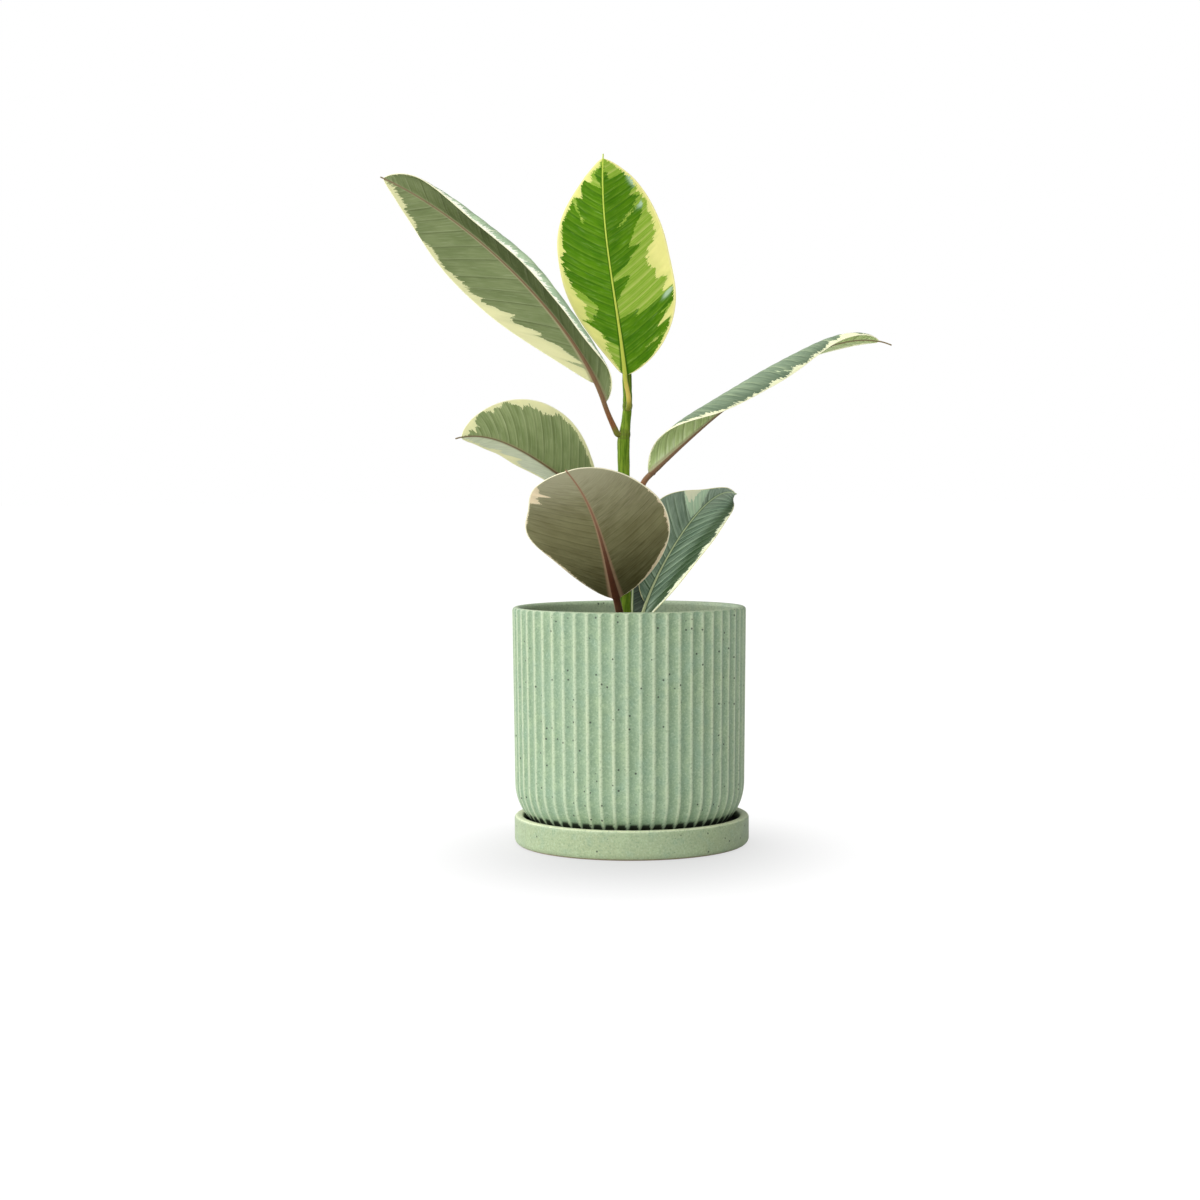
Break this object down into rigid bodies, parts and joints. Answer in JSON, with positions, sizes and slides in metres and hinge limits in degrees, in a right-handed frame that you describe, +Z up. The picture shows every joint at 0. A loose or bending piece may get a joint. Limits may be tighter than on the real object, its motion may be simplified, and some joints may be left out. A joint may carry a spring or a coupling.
{
  "type": "potted rubber plant",
  "caption": "Young variegated rubber plant with broad cream-edged leaves on one stem, in a fluted pale green glazed pot on a matching round saucer.",
  "frame": {"origin": "on the pot's axis, in the plane of the saucer's flat underside", "axes": "+Z up along the pot's axis, -Y towards the plant's front, +X towards its right as seen from the front"},
  "size_m": [0.3206, 0.1888, 0.4361],
  "materials": {
    "saucer": "semi-matte glaze, pale green",
    "pot": "semi-matte speckled glaze, pale green",
    "soil": "dry peaty potting soil",
    "stem": "smooth green stem",
    "bud": "smooth red-brown sheath",
    "leaf_bright": "glossy green leaf with a cream margin",
    "leaf_grey": "grey-green leaf with a cream margin",
    "leaf_olive": "matte olive-brown leaf with a thin cream margin",
    "leaf_teal": "dark teal-green leaf with a cream margin"
  },
  "bodies": {
    "root": {"saucer": "saucer", "pot": "pot", "soil": "soil", "stem": "stem", "bud": "bud", "leaf_top": "leaf_bright", "leaf_upper_left": "leaf_grey", "leaf_left": "leaf_grey", "leaf_front": "leaf_olive", "leaf_lower_right": "leaf_teal", "leaf_right": "leaf_grey", "leaf_low_back": "leaf_teal"}
  },
  "joints": []
}
